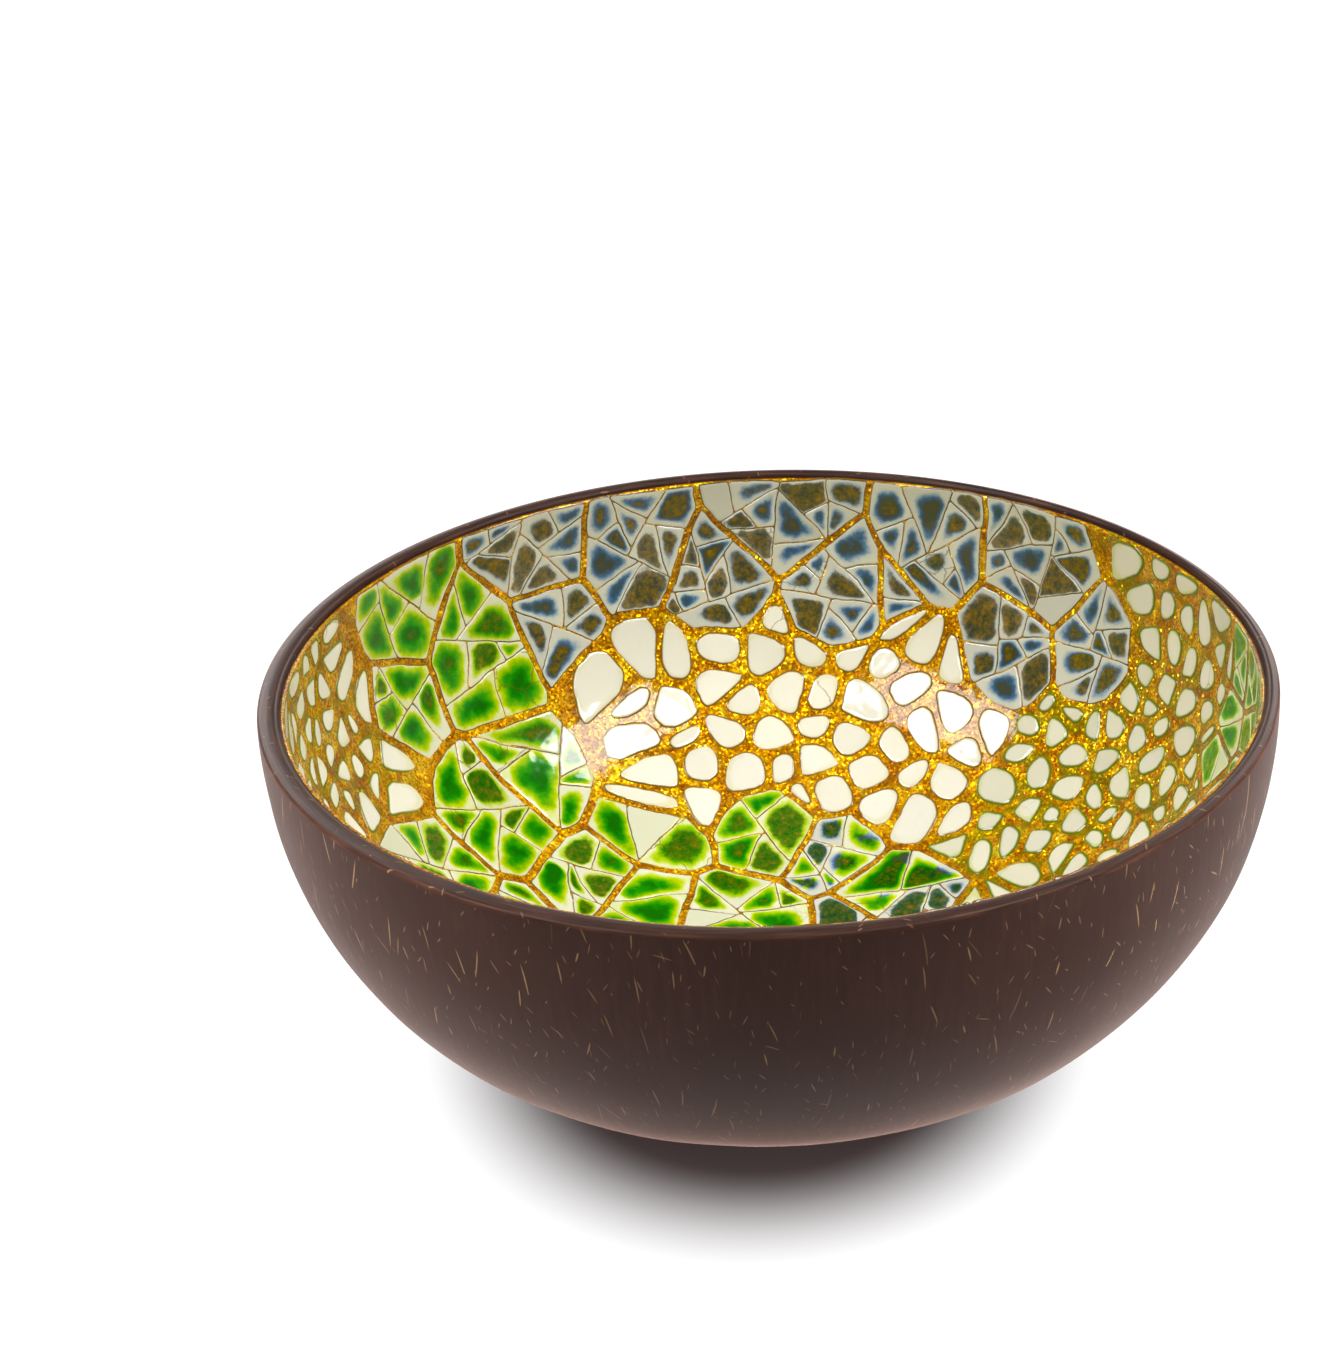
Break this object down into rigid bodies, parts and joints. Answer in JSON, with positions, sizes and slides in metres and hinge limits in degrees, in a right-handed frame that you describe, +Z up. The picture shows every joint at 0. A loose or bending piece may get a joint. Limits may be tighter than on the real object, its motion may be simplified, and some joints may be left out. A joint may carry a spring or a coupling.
{
  "type": "coconut shell bowl",
  "caption": "Small round bowl sawn from a coconut shell, with a flat foot and an inside lined with a crackled eggshell mosaic in gold lacquer.",
  "frame": {"origin": "centre of the foot, on the surface that the bowl stands on", "axes": "+Z up out of the mouth, +Y to the back and +X to the right as pictured"},
  "size_m": [0.1402, 0.1402, 0.056],
  "materials": {
    "coconut_shell": "sanded and oiled, satin",
    "ground_lacquer": "gloss",
    "gold_lacquer": "gold powder under clear gloss",
    "green_eggshell": "stained, under clear gloss lacquer",
    "blue_eggshell": "stained, under clear gloss lacquer",
    "mixed_eggshell": "stained, under clear gloss lacquer",
    "ivory_eggshell": "plain, under clear gloss lacquer"
  },
  "bodies": {
    "root": {"coconut_shell": "coconut_shell", "ground_lacquer": "ground_lacquer", "gold_lacquer": "gold_lacquer", "green_chips_left": "green_eggshell", "green_chips_front_left": "green_eggshell", "green_chips_front": "green_eggshell", "green_leaf_chips_right": "green_eggshell", "blue_chips_back": "blue_eggshell", "blue_chips_front": "blue_eggshell", "mixed_chips_floor": "mixed_eggshell", "ivory_pebbles_back": "ivory_eggshell", "ivory_pebbles_front": "ivory_eggshell", "ivory_beads_back_right": "ivory_eggshell", "ivory_beads_front_right": "ivory_eggshell", "ivory_slivers_left": "ivory_eggshell"}
  },
  "joints": []
}
